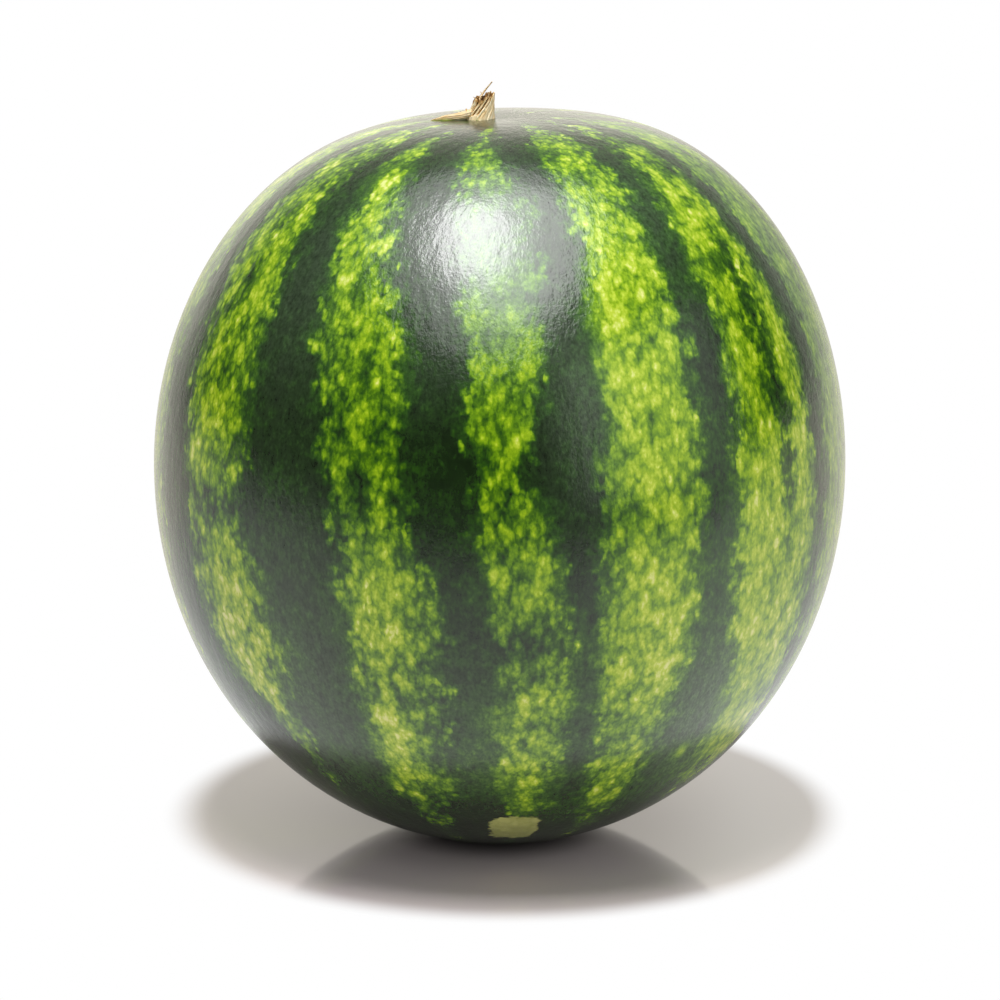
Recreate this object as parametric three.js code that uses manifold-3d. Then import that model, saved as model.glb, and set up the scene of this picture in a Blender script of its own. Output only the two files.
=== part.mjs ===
// A whole round watermelon standing on its blossom end, with the dried stub of its stem.
// Millimetres, +Z up. The origin is the centre of the flat spot that the fruit rests on,
// and the front of the fruit faces -Y.

import * as THREE from 'three';
import { mergeVertices } from 'three/addons/utils/BufferGeometryUtils.js';
import Module from 'manifold-3d';

// Fruit: driving dimensions
const GIRTH_RADIUS = 125.7;
const END_REACH = 13.8;        // how much farther than the girth both ends are from the centre
const CROWN_DEPTH = 12;        // how far the stem end is pressed flat
const CROWN_WIDTH = 62.8;      // radius over which it is pressed
const CROWN_LEAN = 0.028;      // rise per millimetre towards +X, so one shoulder is higher
const DIMPLE_DEPTH = 0.8;      // the shallow hollow that the stem grows from
const DIMPLE_WIDTH = 14;
const FOOT_RADIUS = 18;        // radius of the flat spot that it rests on
const LOBE_DEPTH = 0.4;        // height of the shallow lobes round the girth
const LOBE_COUNT = 4;
const LOBE_TURN = 0.35;        // where the first lobe stands, in radians from the front
const FRUIT_SECTORS = 56;
const FRUIT_RINGS = 34;

// Stem: driving dimensions, from the point where its axis meets the crown
const STEM_X = -6.5;           // the stem grows a little to the left of the fruit's middle
const STEM_GAP = 0.3;          // clearance between stem and rind
const STUB_SIDES = 20;
const STRIP_SIDES = 12;
const WHISKER_SIDES = 8;

// Each section of the stub: height, middle in X, half width in X and half depth in Y
const STUB_SECTIONS = [
  { z: -2.5, x: 0.0, halfWidth: 4.9, halfDepth: 4.6 },
  { z: 0.8, x: 0.0, halfWidth: 4.6, halfDepth: 4.3 },
  { z: 2.7, x: 0.1, halfWidth: 4.3, halfDepth: 4.0 },
  { z: 5.4, x: 0.6, halfWidth: 3.7, halfDepth: 3.6 },
];
const TORN_TOP = { z: 7.3, x: 1.0, halfWidth: 3.5, halfDepth: 3.4, tilt: -0.38 };
const HOLLOW_SCALE = 0.62;     // width of the rotted hollow against the torn top
const HOLLOW_DEPTH = 2.2;
const TOOTH_HEIGHT = 0.45;     // ragged teeth round the torn top
const TOOTH_COUNT = 5;

// The strip of bark peeled off to the left: a point on it, half thickness, half width in Y
const STRIP_SECTIONS = [
  { x: -2.0, y: 0.0, z: 1.9, halfThickness: 1.9, halfWidth: 2.6 },
  { x: -4.6, y: -0.3, z: 1.4, halfThickness: 1.5, halfWidth: 2.4 },
  { x: -6.6, y: -0.4, z: 0.95, halfThickness: 1.2, halfWidth: 2.1 },
  { x: -10.0, y: -0.7, z: 0.4, halfThickness: 0.98, halfWidth: 1.7 },
  { x: -13.0, y: -0.6, z: 0.0, halfThickness: 0.75, halfWidth: 1.2 },
  { x: -16.0, y: -0.2, z: -0.4, halfThickness: 0.4, halfWidth: 0.6 },
  { x: -18.3, y: 0.1, z: -0.85, halfThickness: 0.2, halfWidth: 0.25 },
];

// The single fibre that stands up from the torn top, and its radius along the way
const WHISKER_POINTS = [
  { x: -1.2, y: 2.2, z: 4.9, radius: 0.5 },
  { x: -0.4, y: 2.5, z: 7.6, radius: 0.46 },
  { x: 0.9, y: 2.7, z: 9.6, radius: 0.38 },
  { x: 2.2, y: 2.8, z: 11.2, radius: 0.32 },
  { x: 3.7, y: 2.7, z: 13.0, radius: 0.25 },
];

const UP = 0;                  // polar angle of the stem end
const footAngle = Math.PI - Math.asin(FOOT_RADIUS / (GIRTH_RADIUS + END_REACH));

// Distance of the plain rind from the fruit's centre, at a polar angle from the stem end
function plainRadius(polar) {
  return GIRTH_RADIUS + END_REACH * Math.cos(polar) ** 2;
}

// A smooth bump, 1 in its middle, that has died away by about twice its width
function bump(distance) {
  return Math.exp(-(distance ** 2));
}

const centreHeight = -plainRadius(footAngle) * Math.cos(footAngle);

// A point of the rind. Longitude is 0 at the front and grows towards +X, and the polar angle is
// 0 at the stem end. grow moves the whole surface outwards.
function rindPoint(longitude, polar, grow = 0) {
  const girth = Math.sin(polar) ** 2;
  const lobe = LOBE_DEPTH * girth * Math.cos(LOBE_COUNT * (longitude - LOBE_TURN));
  const radius = plainRadius(polar) + lobe + grow;
  const x = radius * Math.sin(polar) * Math.sin(longitude);
  const y = -radius * Math.sin(polar) * Math.cos(longitude);
  const upper = Math.max(Math.cos(polar), 0);
  const flattening = CROWN_DEPTH * bump(Math.hypot(x, y) / CROWN_WIDTH);
  const dimple = DIMPLE_DEPTH * bump(Math.hypot(x - STEM_X, y) / DIMPLE_WIDTH);
  const lean = CROWN_LEAN * x * upper;
  const z = centreHeight + radius * Math.cos(polar) + upper * (lean - flattening - dimple);
  return new THREE.Vector3(x, y, z);
}

// A closed body through rings of points, each ring counter-clockwise seen from the far end.
// The first and last entries are single points that close the two ends.
function bodyFromRings(startPoint, rings, endPoint) {
  const sides = rings[0].length;
  const points = [startPoint, ...rings.flat(), endPoint];
  const last = points.length - 1;
  const index = [];
  for (let side = 0; side < sides; side += 1) {
    const next = (side + 1) % sides;
    index.push(0, 1 + next, 1 + side);
    for (let ring = 0; ring < rings.length - 1; ring += 1) {
      const low = 1 + ring * sides;
      const high = low + sides;
      index.push(low + side, low + next, high + next);
      index.push(low + side, high + next, high + side);
    }
    const top = 1 + (rings.length - 1) * sides;
    index.push(top + side, top + next, last);
  }
  const geometry = new THREE.BufferGeometry().setFromPoints(points);
  geometry.setIndex(index);
  geometry.computeVertexNormals();
  return geometry;
}

function fruitGeometry(grow = 0) {
  const rings = [];
  for (let ring = 0; ring < FRUIT_RINGS; ring += 1) {
    const polar = THREE.MathUtils.lerp(footAngle, UP, ring / FRUIT_RINGS);
    const points = [];
    for (let sector = 0; sector < FRUIT_SECTORS; sector += 1) {
      points.push(rindPoint((sector / FRUIT_SECTORS) * 2 * Math.PI, polar, grow));
    }
    rings.push(points);
  }
  rings[0].forEach((point) => point.setZ(0));
  return bodyFromRings(new THREE.Vector3(), rings, rindPoint(0, UP, grow));
}

// A ring of an ellipse whose first half axis turns from +X towards -Z by tilt, and whose second
// lies along Y. lift, a function of the angle round the ring, raises single points.
function ellipseRing(centre, halfWidth, halfDepth, sides, tilt = 0, lift = () => 0) {
  const points = [];
  for (let side = 0; side < sides; side += 1) {
    const angle = (side / sides) * 2 * Math.PI;
    const across = halfWidth * Math.cos(angle);
    points.push(new THREE.Vector3(
      centre.x + across * Math.cos(tilt),
      centre.y + halfDepth * Math.sin(angle),
      centre.z - across * Math.sin(tilt) + lift(angle),
    ));
  }
  return points;
}

function stubGeometry() {
  const rings = STUB_SECTIONS.map((section) => ellipseRing(
    new THREE.Vector3(section.x, 0, section.z),
    section.halfWidth,
    section.halfDepth,
    STUB_SIDES,
  ));
  const { x, z, halfWidth, halfDepth, tilt } = TORN_TOP;
  const teeth = (angle) => TOOTH_HEIGHT * Math.cos(TOOTH_COUNT * angle);
  rings.push(ellipseRing(new THREE.Vector3(x, 0, z), halfWidth, halfDepth, STUB_SIDES, tilt, teeth));
  const floor = new THREE.Vector3(x, 0, z - HOLLOW_DEPTH);
  const hollowWidth = halfWidth * HOLLOW_SCALE;
  const hollowDepth = halfDepth * HOLLOW_SCALE;
  rings.push(ellipseRing(floor, hollowWidth, hollowDepth, STUB_SIDES, tilt));
  return bodyFromRings(new THREE.Vector3(0, 0, STUB_SECTIONS[0].z), rings, floor);
}

// The strip runs towards -X, so its sections stand upright
function stripGeometry() {
  const rings = STRIP_SECTIONS.map((section) => ellipseRing(
    new THREE.Vector3(section.x, section.y, section.z),
    section.halfThickness,
    section.halfWidth,
    STRIP_SIDES,
    -Math.PI / 2,
  ));
  const root = STRIP_SECTIONS[0];
  const tip = STRIP_SECTIONS[STRIP_SECTIONS.length - 1];
  return bodyFromRings(
    new THREE.Vector3(root.x, root.y, root.z),
    rings,
    new THREE.Vector3(tip.x - tip.halfWidth, tip.y, tip.z),
  );
}

function whiskerGeometry() {
  const rings = WHISKER_POINTS.map((point) => ellipseRing(
    new THREE.Vector3(point.x, point.y, point.z),
    point.radius,
    point.radius,
    WHISKER_SIDES,
  ));
  const root = WHISKER_POINTS[0];
  const tip = WHISKER_POINTS[WHISKER_POINTS.length - 1];
  return bodyFromRings(
    new THREE.Vector3(root.x, root.y, root.z),
    rings,
    new THREE.Vector3(tip.x, tip.y, tip.z + tip.radius),
  );
}

const wasm = await Module();
wasm.setup();

function toSolid(geometry) {
  const merged = mergeVertices(geometry.clone().deleteAttribute('normal'));
  const mesh = new wasm.Mesh({
    numProp: 3,
    vertProperties: new Float32Array(merged.attributes.position.array),
    triVerts: new Uint32Array(merged.index.array),
  });
  return new wasm.Manifold(mesh);
}

function toGeometry(solid) {
  const mesh = solid.getMesh();
  const geometry = new THREE.BufferGeometry();
  geometry.setAttribute('position', new THREE.BufferAttribute(mesh.vertProperties, 3));
  geometry.setIndex(new THREE.BufferAttribute(mesh.triVerts, 1));
  geometry.computeVertexNormals();
  return geometry;
}

// The stem is one grown piece: stub, peeled strip and standing fibre, fitted over the crown
function stemGeometry() {
  const polar = Math.asin(Math.abs(STEM_X) / (GIRTH_RADIUS + END_REACH));
  const base = rindPoint(Math.sign(STEM_X) * Math.PI / 2, polar);
  const place = new THREE.Matrix4().makeTranslation(STEM_X, 0, base.z);
  const [stub, strip, whisker] = [stubGeometry(), stripGeometry(), whiskerGeometry()]
    .map((geometry) => toSolid(geometry.applyMatrix4(place)));
  const grownFruit = toSolid(fruitGeometry(STEM_GAP));
  return toGeometry(stub.add(strip).add(whisker).subtract(grownFruit));
}

function makeFruit() {
  const material = new THREE.MeshStandardMaterial({ color: 0x2f5a1e, roughness: 0.3, metalness: 0 });
  const mesh = new THREE.Mesh(fruitGeometry(), material);
  mesh.name = 'fruit';
  return mesh;
}

function makeStem() {
  const material = new THREE.MeshStandardMaterial({ color: 0xd3ba8b, roughness: 0.8, metalness: 0 });
  const mesh = new THREE.Mesh(stemGeometry(), material);
  mesh.name = 'stem';
  return mesh;
}

const watermelon = new THREE.Group();
watermelon.name = 'watermelon';
watermelon.add(makeFruit(), makeStem());

export default watermelon;
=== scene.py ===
"""A whole striped watermelon with the dried stub of its stem, on a pale studio table.

Lengths are in millimetres until a mesh is made, when MM turns them into metres. Longitude is 0
at the front, -Y, and grows towards +X. Latitude is 0 at the girth and 90 at the stem end.

The rind's pattern is painted by noise round a few courses of dark stripes, with soft patches where
it fades or darkens, among them painted shade under the fruit and a darkening painted to suit the
highlight, and a grey painted sheen where its gloss reflects the room. Its deepest greens and palest
spots come from one ramp of colours.
"""

import math

import bpy
import numpy as np
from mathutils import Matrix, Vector


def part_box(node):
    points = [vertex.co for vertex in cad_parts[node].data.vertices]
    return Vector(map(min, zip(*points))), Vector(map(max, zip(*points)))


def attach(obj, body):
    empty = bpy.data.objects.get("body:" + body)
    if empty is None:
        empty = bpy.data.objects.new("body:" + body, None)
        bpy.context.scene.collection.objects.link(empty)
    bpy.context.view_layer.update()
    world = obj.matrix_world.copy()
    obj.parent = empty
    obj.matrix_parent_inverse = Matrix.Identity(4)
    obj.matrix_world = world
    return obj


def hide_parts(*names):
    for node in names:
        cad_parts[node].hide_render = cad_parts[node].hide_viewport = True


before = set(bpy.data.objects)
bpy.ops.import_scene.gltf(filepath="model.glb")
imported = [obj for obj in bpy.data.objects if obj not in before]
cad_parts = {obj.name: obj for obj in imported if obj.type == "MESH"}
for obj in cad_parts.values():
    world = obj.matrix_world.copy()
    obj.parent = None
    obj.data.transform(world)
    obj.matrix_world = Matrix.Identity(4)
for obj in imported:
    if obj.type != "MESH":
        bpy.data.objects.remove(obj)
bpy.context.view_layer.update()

MM = 0.001

# The fruit's shape. Its girth comes from the frame.
FRUIT_LOW, FRUIT_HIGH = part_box("fruit")
GIRTH_RADIUS = (FRUIT_HIGH.x - FRUIT_LOW.x) / 2 / MM
END_REACH = 13.8        # how much farther than the girth both ends are from the centre
FOOT_RADIUS = 18.0      # radius of the flat spot that it rests on
FOOT_SOFTNESS = 0.12    # how softly the rind turns into the flat spot
CROWN_DEPTH = 12.0      # how far the stem end is pressed flat
CROWN_WIDTH = 62.8      # and how far from the middle, to where 0.37 of that is left
CROWN_LEAN = 0.028      # rise per millimetre towards +X
DIMPLE_DEPTH = 0.8      # the dimple round the stem
DIMPLE_WIDTH = 14.0     # measured as the crown's
LOBE_DEPTH = 0.4        # the faint lobes round the girth
LOBE_COUNT = 4
LOBE_TURN = 0.35        # in radians
STEM_X = -6.5
RIND_CELLS = 126        # squares along each edge of the cube that the rind's mesh starts from
MAP_COLUMNS, MAP_ROWS = 3, 2    # how the cube's six sides lie when it is unfolded
MAP_MARGIN = 0.004      # empty edge of each side there, as a share of it
BAKE_MAP = "OFBake"     # the name of the rind's map of the unfolded cube

# The dark stripes that the front shows: latitude, longitude of the middle, half width, in degrees
FRONT_STRIPES = {
    "far_left": [(50, -72, 4.2), (20, -69, 5), (0, -66, 6.3), (-17, -65, 6.5), (-24, -63, 7),
                 (-29, -61, 8.5), (-34, -58, 11), (-45, -56, 11)],
    "left": [(60, -44, 5), (40, -41.7, 5.7), (20, -38.5, 7.5), (0, -36, 9.5), (-10, -34.3, 8.6),
             (-20, -32.6, 7.1), (-30, -33.4, 8.2), (-45, -33, 9)],
    "middle": [(65, -22, 8.5), (50, -17, 7), (30, -11.8, 5.2), (10, -9.7, 5.7), (0, -9.3, 6),
               (-10, -5.3, 4.8), (-40, -4.5, 5.5)],
    "right_of_middle": [(68, 6, 9), (55, 12.5, 4), (30, 12.3, 5.3), (10, 10.7, 5.7),
                        (0, 12.4, 3.6), (-20, 14.3, 2.7), (-40, 15.3, 3.4)],
    "right": [(68, 40, 6.5), (45, 37, 4), (30, 38, 4.4), (10, 37.3, 3.8), (-10, 36.5, 4.5),
              (-27, 38, 6.6), (-40, 39.5, 8.5)],
    "thin": [(48, 52, -2), (42, 52, 1.8), (30, 52.4, 2.0), (10, 54, 1.2), (-2, 53.8, 0.2),
             (-14, 53.8, -3)],
    "far_right": [(50, 63, 3.6), (30, 65, 3.2), (10, 65, 3.2), (-5, 64.5, 2.2), (-40, 66, 3)],
}

# The dark stripes of the hidden side: longitude of the middle and half width at the girth
BACK_STRIPES = [(93, 5.5), (119, 7.5), (146, 5), (172, 8), (201, 5.5), (228, 7), (257, 6)]
BACK_SWAY = 3.0         # how far a hidden stripe sways from its meridian, in degrees
BACK_SWAY_PACE = 2.4    # degrees of the sway's wave for each degree of latitude
BACK_PULSE = 1.2        # how much its half width grows and shrinks, in degrees
BACK_PULSE_PACE = 5
BACK_PHASE = 1.9        # radians between one hidden stripe's waves and the next one's
NARROWING = 0.6         # power of the latitude's cosine with which the pattern gets narrower
# The dark stripes widen between these latitudes near each end, by so many millimetres
BLOSSOM_END, BLOSSOM_END_SPREAD = (-44, -62), 9.0
STEM_END, STEM_END_SPREAD = (66, 84), 5.0

# Soft patches that change the pattern: longitude, latitude, half width and half height in degrees,
# and the change in paleness
PATCHES = {
    # a pale stripe is crossed by dark, or fades out
    "bridge": (-52, 1, 8, 4.5, -0.19),
    "faded_foot": (-45, -43, 10, 9, -0.22),
    "faded_low": (-18, -28, 10, 10, -0.05),
    "faded_rim_right": (75, 48, 10, 35, -0.06),
    "gap": (3, -16.5, 6, 2.8, -0.20),
    # the pattern is duskier
    "dusky_hem": (-12, -34, 4.5, 12, -0.16),
    # darker low under the fruit: painted shade
    "shade_under": (-10, -57, 22, 7, -0.10),
    "dusky_knot": (-27, 33, 5, 7, -0.07),
    "dusky_left": (-22, 9, 8, 14, -0.20),
    "dusky_middle": (1, 12, 8, 9, -0.06),
    "dusky_low": (5, -28, 7, 14, -0.05),
    # darker under the softbox's highlight: a change painted to suit the light, so the highlight
    # shows white
    "darker_under_highlight": (-2, 50, 11, 11, -0.36),
    "dusky_far_left": (-56, 24, 8, 13, -0.08),
    "dusky_core": (0, 9, 6, 9, -0.12),
    "dusky_foot": (26, -38, 9, 7, -0.08),
    "dusky_crown_left": (-40, 58, 12, 7, -0.07),
    "dusky_hip": (4, -14, 6, 7, -0.06),
    "dusky_throat": (-2, 28, 5, 6, -0.09),
    "dusky_cuff": (-15, -52, 7, 6, -0.11),
    "dusky_ribs": (34, 28, 10, 5, -0.10),
    "dusky_temple": (-56, 34, 6, 7, -0.13),
    "dusky_temple_right": (57, 44, 5, 10, -0.12),
    "dusky_elbow": (-27.5, 16, 4.5, 8, -0.10),
    "dusky_brow": (22, 55, 5, 8, -0.08),
    "dusky_side": (17, -3, 4, 8, -0.07),
    "dusky_arm": (43, 22, 5, 8, -0.06),
    "dusky_flank": (31, 5, 5, 6, -0.05),
    # the dark is a brighter green
    "greener_left": (-36, 8, 9, 30, 0.03),
    "greener_foot": (-37, -42, 8, 7, 0.11),
    "greener_knee": (-5.5, -39, 4.5, 9, 0.10),
    "greener_right": (38, 5, 12, 50, 0.10),
    "greener_temple": (52, 36, 8, 16, 0.06),
    "greener_neck_left": (-13, 29, 7, 12, 0.045),
    "greener_neck_right": (13, 25, 7, 16, 0.05),
    # a pale stripe is paler
    # paler at the left rim: painted light, standing in for the rim's grazing reflection
    "painted_rim_light_left": (-86, 25, 8, 50, 0.06),
    "pale_edge": (58, 22, 3, 32, 0.12),
    "pale_shoulder": (-29, 44, 6, 10, 0.03),
    "pale_crown": (25, 44, 8, 14, 0.10),
    "pale_crown_right": (51, 50, 7, 12, 0.04),
    "pale_belly": (25, -20, 8, 11, 0.11),
    "pale_flank": (52, -18, 9, 20, 0.10),
    "pale_left": (-50, -24, 8, 12, 0.13),
    "pale_foot": (2, -44, 5, 6, 0.07),
    "pale_thigh": (-21, -14, 5, 8, 0.07),
    "pale_throat": (19, 32, 4.5, 6, 0.20),
    "pale_ribs": (28.5, 15, 4.5, 5, 0.10),
    "pale_ear": (-35, 59, 8, 7, 0.22),
    "pale_waist": (-18, -5, 5, 11, 0.09),
    "pale_far_left": (-58, 21, 6, 7, 0.10),
    "pale_ankle": (0, -34, 4, 7, 0.12),
    "pale_heel": (46, -46, 8, 8, 0.10),
    "pale_hem": (-20.5, -37, 4, 8, 0.16),
    # small pale spots on the dark
    "island": (40, -41.5, 1.8, 1.8, 0.42),
    "first_spot": (-24, -47, 1.6, 1.4, 0.30),
    "second_spot": (-20, -49.5, 1.3, 1.2, 0.26),
    "third_spot": (-41, -48, 1.5, 1.0, 0.24),
    "fourth_spot": (-50, -48.5, 1.3, 0.9, 0.24),
}

# Soft patches where the mottle is weaker, painted weaker under the highlight and at the rims to
# suit the
# gloss that washes over them: the same four, and the share of its contrast that goes
CALM_PATCHES = {
    "shine": (1, 43, 14, 17, 0.68),
    "right": (42, 0, 28, 50, 0.38),
    "rim_left": (-84, 10, 12, 60, 0.45),
    "rim_right": (75, 25, 13, 60, 0.55),
    "foot": (0, -42, 60, 18, 0.16),
}

# Soft patches of painted sheen, a grey reflection of the softbox, table and backdrop painted into
# the
# colour: the same four, and the share of its colour that shows
PAINTED_SHEEN_PATCHES = {
    "shine": (1, 42, 9, 12, 0.08),
    "left_shoulder": (-40, 42, 14, 22, 0.07),
    "right_shoulder": (35, 55, 18, 14, 0.08),
    "crown": (-6, 65, 16, 9, 0.08),
    "left_flank": (-33, -2, 14, 14, 0.03),
    "foot": (-5, -34, 55, 20, 0.055),
    "left_throat": (-12, 28, 6, 9, 0.03),
    "right_throat": (13.5, 21, 7, 14, 0.085),
    "right": (36, 30, 8, 16, 0.035),
    "rim_left": (-76, 5, 9, 55, 0.15),
    "rim_right": (71, 36, 11, 34, 0.17),
    "left_foot": (-37, -25, 12, 17, 0.06),
    "right_foot": (41, -35, 13, 16, 0.11),
}

# The pale scar low on the front: longitude, latitude, half width and half height in degrees
SCAR = (4, -60.5, 8, 5.5)

# The stem, from the point where its axis meets the crown. Each section of its stub is a height,
# the middle in X, and the half widths in X and Y.
STEM_FOOT = 2.5         # how far it reaches below that point, hidden in the dimple
STUB_SECTIONS = [(-2.5, -0.7, 5.6, 4.6), (0.8, -0.5, 5.1, 4.3), (2.7, -0.1, 4.5, 4.0),
                 (5.4, 0.6, 3.8, 3.6), (9.5, 1.1, 3.45, 3.4)]
TORN_HEIGHT = 8.0       # where it is torn off, on the axis
TORN_SLOPE = 0.33       # rise of the torn edge towards +X
TORN_BACK_RISE = 0.15   # and towards the back
TORN_RAGGED = 0.42      # height of its teeth
# The teeth: how many go round the stub, their phase, and their height as a share of TORN_RAGGED
TEETH = [(5, 0.6, 1.0), (11, 0.0, 0.6), (23, 1.1, 0.5)]
STUB_RADIUS = STUB_SECTIONS[2][2]
TORN_RADIUS = STUB_SECTIONS[-1][2]
HOLLOW_DEPTH = 3.0
HOLLOW_CURVE = 1.5      # 1 makes the hollow a cone, and more makes its walls steeper below
HOLLOW_SCALE = 0.55     # width of the hollow's floor against the stub
WALL_SCALE = 0.88       # width of the hollow's mouth against the stub
STUB_SIDES = 160        # points round the stub
STUB_ROWS = 60          # rows of points up its outside
HOLLOW_ROWS = 14        # and down into the hollow
FIBRE_LEAN = 0.11       # how far the fibres turn round the stub, in radians per millimetre
# Fine ridges of the fibres: height, how many go round, phase, and how far and how fast they wind
RIDGES = [(0.09, 13, 0.0, 0.5, 0.9), (0.07, 22, 1.3, 0.6, 0.7), (0.05, 37, 2.1, 0.5, 1.3)]
# Slits between the fibres: longitude and height of the lower end and of the upper end, half
# width and depth
SLITS = [(-70, 1.5, -58, 5.0, 0.25, 0.8), (-55, 1.9, -36, 6.2, 0.25, 0.8),
         (-40, 1.3, -14, 6.0, 0.28, 1.0), (-20, 1.7, 24, 7.8, 0.30, 1.1),
         (-4, 4.6, 30, 8.6, 0.22, 0.8), (16, 4.2, 52, 8.4, 0.22, 0.8),
         (75, 3.5, 96, 8.0, 0.2, 0.6), (130, 1.5, 160, 7.0, 0.25, 0.9),
         (-150, 1.2, -118, 6.0, 0.25, 0.9)]

# Where the stem is dark, as a shade from 0 to 1: painted shade in its slits, its hollow and between
# its ridges, and darker below the torn edge and at the tips
SLIT_DARK_DEPTH = 0.7   # a slit this deep has a shade of 1
HOLLOW_SHADE = 0.75     # at the hollow's mouth, and 1 on its floor
EDGE_DARKNESS = 0.7       # darker at the torn edge
EDGE_DARK_REACH = 1.9       # how far below the torn edge it is darker
EDGE_DARK_SHARE = 0.6       # how much of that shows in front
EDGE_DARK_LEAN = 0.8        # and how much more towards -X
TIP_SHADE = 0.45        # at the tip of a strip or fibre
RIDGE_SHADE = 0.5       # painted shade between the ridges of a strip or fibre
STRIP_GRAIN_SHIFT = 10.0    # keeps the noise on a strip apart from the noise on the stub
STEEP = 0.5             # sine of a strip's angle to the vertical, under which it stands up

# The strip peeled off to the left, the long fibre that stands up behind and some small ones: x, y,
# z, half thickness and half width at points along each
PEELED_STRIP = [(-2.0, 0.0, 2.0, 1.9, 2.6), (-4.6, -0.3, 1.6, 1.6, 2.4),
                (-6.6, -0.4, 1.2, 1.35, 2.1), (-10.0, -0.7, 0.7, 1.15, 1.7),
                (-13.0, -0.6, 0.3, 0.95, 1.3), (-16.0, -0.2, -0.25, 0.55, 0.7),
                (-18.3, 0.1, -0.8, 0.25, 0.3)]
WHISKER = [(-1.2, 2.2, 5.6, 0.45, 0.55), (-0.4, 2.5, 7.6, 0.42, 0.5), (0.9, 2.7, 9.6, 0.34, 0.42),
           (2.2, 2.8, 11.2, 0.26, 0.34), (3.7, 2.7, 13.0, 0.20, 0.26)]
FIBRES = [
    [(-5.0, -0.5, 1.4, 0.5, 0.5), (-5.3, -0.6, 2.7, 0.36, 0.4), (-5.7, -0.6, 3.7, 0.25, 0.25)],
    [(-6.8, -0.7, 1.2, 0.45, 0.45), (-7.2, -0.8, 2.3, 0.3, 0.3)],
    [(2.3, -2.3, 8.0, 0.22, 0.3), (2.6, -2.5, 9.6, 0.15, 0.2), (3.2, -2.4, 10.3, 0.08, 0.1)],
    [(-0.2, 2.9, 7.0, 0.3, 0.4), (-0.1, 3.2, 8.6, 0.2, 0.25), (-0.6, 3.3, 9.3, 0.1, 0.1)],
    [(-1.9, 0.9, 6.0, 0.3, 0.35), (-2.5, 1.0, 7.2, 0.2, 0.25), (-3.1, 0.8, 7.8, 0.1, 0.1)],
]


def srgb(red, green, blue):
    """A colour as it shows on screen, from 0 to 255, in Blender's linear numbers."""
    levels = [value / 255 for value in (red, green, blue)]
    linear = [level / 12.92 if level <= 0.04045 else ((level + 0.055) / 1.055) ** 2.4
              for level in levels]
    return (*linear, 1.0)


def smoothstep(low, high, value):
    share = np.clip((value - low) / (high - low), 0, 1)
    return share * share * (3 - 2 * share)


# ---- Meshes ----

def make_object(name, vertices, faces, smooth=True):
    """A mesh object from points in millimetres."""
    mesh = bpy.data.meshes.new(name)
    mesh.from_pydata((np.asarray(vertices) * MM).tolist(), [], faces)
    mesh.polygons.foreach_set("use_smooth", [smooth] * len(mesh.polygons))
    mesh.update()
    thing = bpy.data.objects.new(name, mesh)
    bpy.context.collection.objects.link(thing)
    return thing


def add_number(mesh, name, values):
    layer = mesh.attributes.new(name, "FLOAT", "POINT")
    layer.data.foreach_set("value", np.asarray(values, dtype=np.float32))


def add_vector(mesh, name, values):
    layer = mesh.attributes.new(name, "FLOAT_VECTOR", "POINT")
    layer.data.foreach_set("vector", np.asarray(values, dtype=np.float32).ravel())


def cube_side(cells, number, axis, sign):
    """The lattice points of one side of a cube, the corners of its squares and each point's
    place on the unfolded cube."""
    steps = np.arange(cells + 1)
    across, up = np.meshgrid(steps, steps, indexing="xy")
    lattice = np.empty((cells + 1, cells + 1, 3), dtype=int)
    lattice[..., axis] = cells if sign > 0 else 0
    first, second = [other for other in range(3) if other != axis]
    if (sign > 0) == (axis == 1):
        first, second = second, first
    lattice[..., first] = across
    lattice[..., second] = up
    start = number * (cells + 1) ** 2
    corner = start + across[:-1, :-1] + up[:-1, :-1] * (cells + 1)
    squares = np.stack([corner, corner + 1, corner + cells + 2, corner + cells + 1], axis=-1)
    column, row = number % MAP_COLUMNS, number // MAP_COLUMNS
    place = np.stack([across, up], axis=-1) / cells * (1 - 2 * MAP_MARGIN) + MAP_MARGIN
    place = (place + (column, row)) / (MAP_COLUMNS, MAP_ROWS)
    return lattice.reshape(-1, 3), squares.reshape(-1, 4), place.reshape(-1, 2)


def cube_sphere(cells):
    """Unit directions and square faces of a sphere made from a cube, and the place of each
    face's corners on the unfolded cube."""
    sides = [(0, 1), (0, -1), (1, 1), (1, -1), (2, 1), (2, -1)]
    made = [cube_side(cells, number, *side) for number, side in enumerate(sides)]
    keys, corners, places = map(np.concatenate, zip(*made))
    lattice, shared = np.unique(keys, axis=0, return_inverse=True)
    spread = np.tan((lattice / cells * 2 - 1) * math.pi / 4)
    directions = spread / np.linalg.norm(spread, axis=1, keepdims=True)
    return directions, shared.ravel()[corners], places[corners]


# ---- The rind ----

def plain_radius(up):
    """Distance of the plain rind from the fruit's centre. up is the cosine of the polar angle."""
    return GIRTH_RADIUS + END_REACH * up ** 2


def centre_height():
    """Height of the fruit's centre, at which the flat spot gets its radius."""
    across = FOOT_RADIUS / plain_radius(1)
    down = math.sqrt(1 - across ** 2)
    return FRUIT_LOW.z / MM + plain_radius(down) * down


def bump(distance):
    """A smooth hill: 1 in the middle and 0.37 at a distance of 1."""
    return np.exp(-distance ** 2)


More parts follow.
